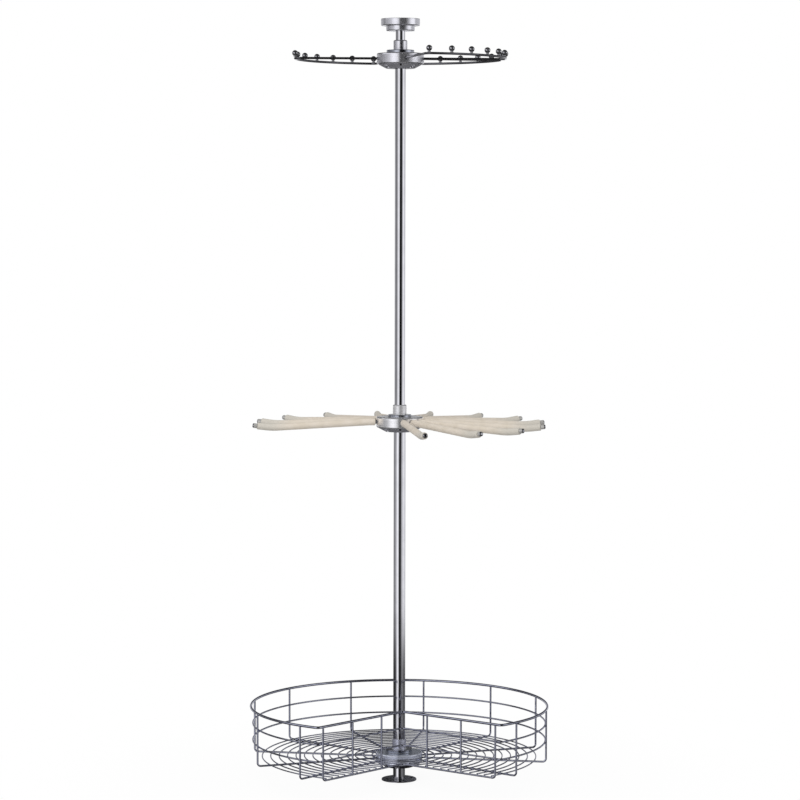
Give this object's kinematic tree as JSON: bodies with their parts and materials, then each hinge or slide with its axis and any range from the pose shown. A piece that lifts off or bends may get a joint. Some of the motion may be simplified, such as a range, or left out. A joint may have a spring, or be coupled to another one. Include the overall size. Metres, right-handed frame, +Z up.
{
  "type": "corner clothes rack",
  "caption": "Revolving corner clothes rack: telescopic floor-to-ceiling pole with a hanger ring with ball pegs, a fan of sleeved trouser arms and a notched wire basket that turn freely.",
  "frame": {"origin": "centre of the floor flange's underside, on the pole's axis", "axes": "+Z up along the pole, -Y towards the viewer of the picture, +X to the viewer's right"},
  "size_m": [0.6999, 0.6901, 1.7745],
  "materials": {
    "tube_chrome": "polished",
    "dark_chrome": "polished",
    "basket_wire": "polished",
    "satin_casting": "satin",
    "bowl_casting": "satin",
    "steel_hardware": "plain",
    "nylon": "matte",
    "sleeve": "soft matte"
  },
  "bodies": {
    "pole_base": {"floor_flange": "dark_chrome", "lower_tube": "tube_chrome", "middle_collar": "tube_chrome", "basket_collar": "tube_chrome", "trouser_support_ring": "steel_hardware", "basket_support_ring": "steel_hardware", "support_screws": "steel_hardware"},
    "middle_pole": {"middle_tube": "tube_chrome", "middle_lock_plug": "nylon", "upper_collar": "tube_chrome", "hanger_support_ring": "steel_hardware", "hanger_support_screws": "steel_hardware"},
    "upper_pole": {"upper_tube": "tube_chrome", "upper_lock_plug": "nylon", "ceiling_flange": "satin_casting", "ceiling_screw": "steel_hardware"},
    "hanger_carousel": {"hanger_drum": "satin_casting", "hanger_bowl": "bowl_casting", "hanger_bush": "nylon", "hanger_hub_screws": "steel_hardware", "hanger_loop_1": "dark_chrome", "hanger_loop_2": "dark_chrome", "hanger_loop_3": "dark_chrome", "hanger_pegs_1": "dark_chrome", "hanger_pegs_2": "dark_chrome", "hanger_pegs_3": "dark_chrome"},
    "trouser_carousel": {"trouser_drum": "satin_casting", "trouser_bowl": "bowl_casting", "trouser_bush": "nylon", "trouser_hub_screws": "steel_hardware", "trouser_rods": "dark_chrome", "trouser_sleeve_01": "sleeve", "trouser_sleeve_02": "sleeve", "trouser_sleeve_03": "sleeve", "trouser_sleeve_04": "sleeve", "trouser_sleeve_05": "sleeve", "trouser_sleeve_06": "sleeve", "trouser_sleeve_07": "sleeve", "trouser_sleeve_08": "sleeve", "trouser_sleeve_09": "sleeve", "trouser_sleeve_10": "sleeve", "trouser_sleeve_11": "sleeve", "trouser_sleeve_12": "sleeve", "trouser_sleeve_13": "sleeve", "trouser_end_caps": "dark_chrome"},
    "basket_carousel": {"basket_drum": "satin_casting", "basket_bowl": "bowl_casting", "basket_bush": "nylon", "basket_hub_screws": "steel_hardware", "basket_rim": "basket_wire", "basket_upper_hoop": "basket_wire", "basket_lower_hoop": "basket_wire", "basket_notch_wire": "basket_wire", "basket_ribs": "basket_wire", "basket_side_posts": "basket_wire", "basket_floor_arcs": "basket_wire"}
  },
  "joints": [
    {"name": "middle_slide", "type": "slide", "parent": "pole_base", "child": "middle_pole", "axis": [0, 0, 1], "range_m": [-0.3, 0.12]},
    {"name": "upper_slide", "type": "slide", "parent": "middle_pole", "child": "upper_pole", "axis": [0, 0, 1], "range_m": [-0.017, 0.18]},
    {"name": "hanger_turn", "type": "hinge", "parent": "middle_pole", "child": "hanger_carousel", "pos_m": [0, 0, 1.6835], "axis": [0, 0, 1], "continuous": true},
    {"name": "trouser_turn", "type": "hinge", "parent": "pole_base", "child": "trouser_carousel", "pos_m": [0, 0, 0.843], "axis": [0, 0, 1], "continuous": true},
    {"name": "basket_turn", "type": "hinge", "parent": "pole_base", "child": "basket_carousel", "pos_m": [0, 0, 0.051], "axis": [0, 0, 1], "continuous": true}
  ]
}
